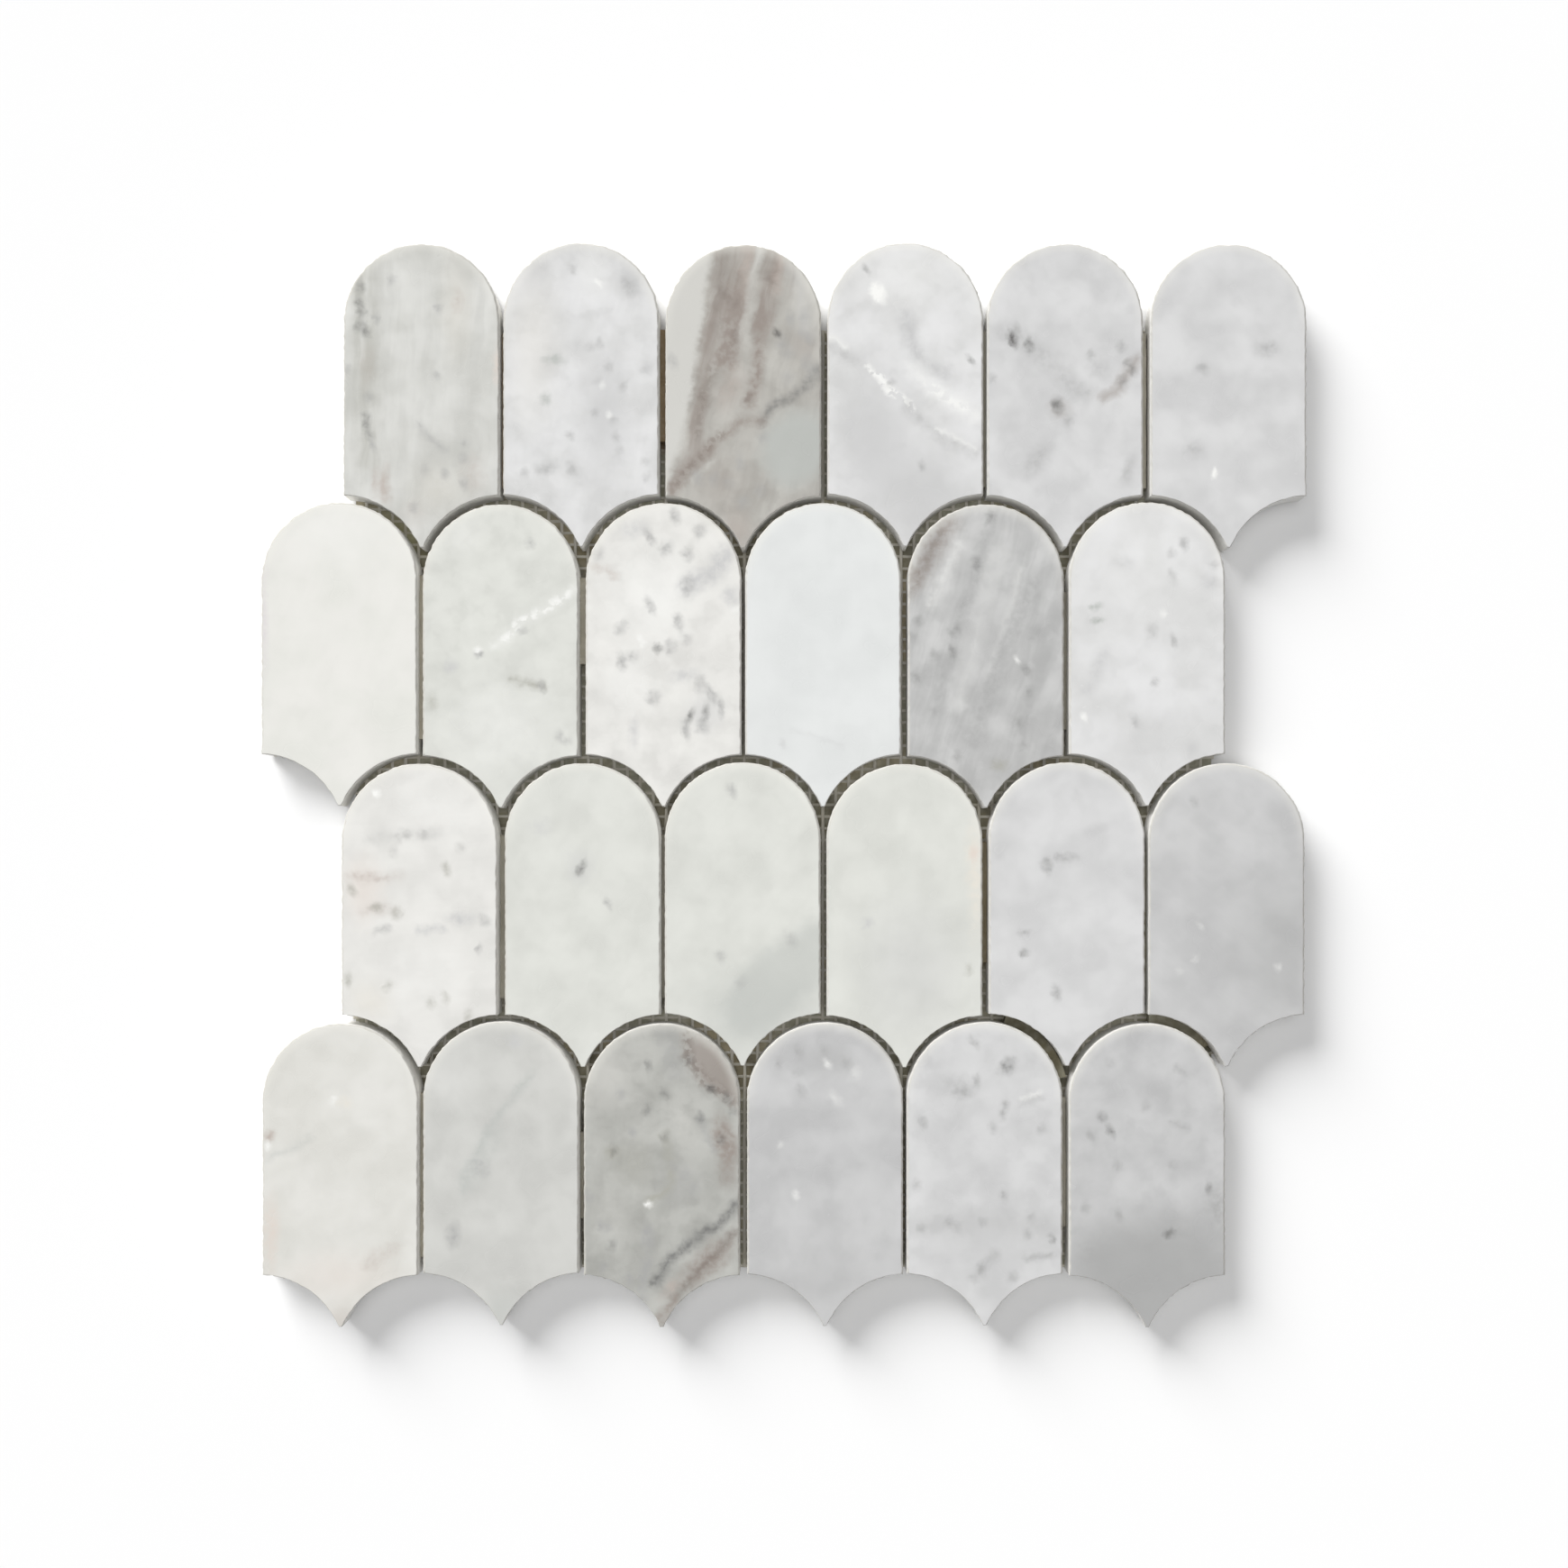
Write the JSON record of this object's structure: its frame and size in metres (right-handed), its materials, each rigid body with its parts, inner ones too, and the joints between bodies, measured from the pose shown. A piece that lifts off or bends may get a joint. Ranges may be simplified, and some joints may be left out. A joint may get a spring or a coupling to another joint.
{
  "type": "arch stone mosaic sheet",
  "caption": "Flat mosaic sheet of arched marble tiles with scalloped tails, laid in staggered interlocking rows with open joints on a glass-fibre mesh.",
  "frame": {"origin": "middle of the sheet's footprint, on the plane of the mesh that is bedded in tile adhesive", "axes": "+Z out of the polished face, +Y towards the arch tops, +X to the right as seen from the face"},
  "size_m": [0.301, 0.3123, 0.0106],
  "materials": {
    "warm_white_marble": "polished",
    "pale_grey_marble": "polished",
    "brown_veined_marble": "polished",
    "glass_fibre_mesh": "resin-bonded yarn"
  },
  "bodies": {
    "root": {"arch_tile_row1_col1": "warm_white_marble", "arch_tile_row1_col2": "warm_white_marble", "arch_tile_row1_col3": "brown_veined_marble", "arch_tile_row1_col4": "pale_grey_marble", "arch_tile_row1_col5": "pale_grey_marble", "arch_tile_row1_col6": "pale_grey_marble", "arch_tile_row2_col1": "warm_white_marble", "arch_tile_row2_col2": "warm_white_marble", "arch_tile_row2_col3": "warm_white_marble", "arch_tile_row2_col4": "pale_grey_marble", "arch_tile_row2_col5": "brown_veined_marble", "arch_tile_row2_col6": "pale_grey_marble", "arch_tile_row3_col1": "warm_white_marble", "arch_tile_row3_col2": "warm_white_marble", "arch_tile_row3_col3": "warm_white_marble", "arch_tile_row3_col4": "warm_white_marble", "arch_tile_row3_col5": "pale_grey_marble", "arch_tile_row3_col6": "pale_grey_marble", "arch_tile_row4_col1": "warm_white_marble", "arch_tile_row4_col2": "pale_grey_marble", "arch_tile_row4_col3": "brown_veined_marble", "arch_tile_row4_col4": "pale_grey_marble", "arch_tile_row4_col5": "pale_grey_marble", "arch_tile_row4_col6": "pale_grey_marble", "mesh_warp_yarns": "glass_fibre_mesh", "mesh_weft_yarns": "glass_fibre_mesh"}
  },
  "joints": []
}
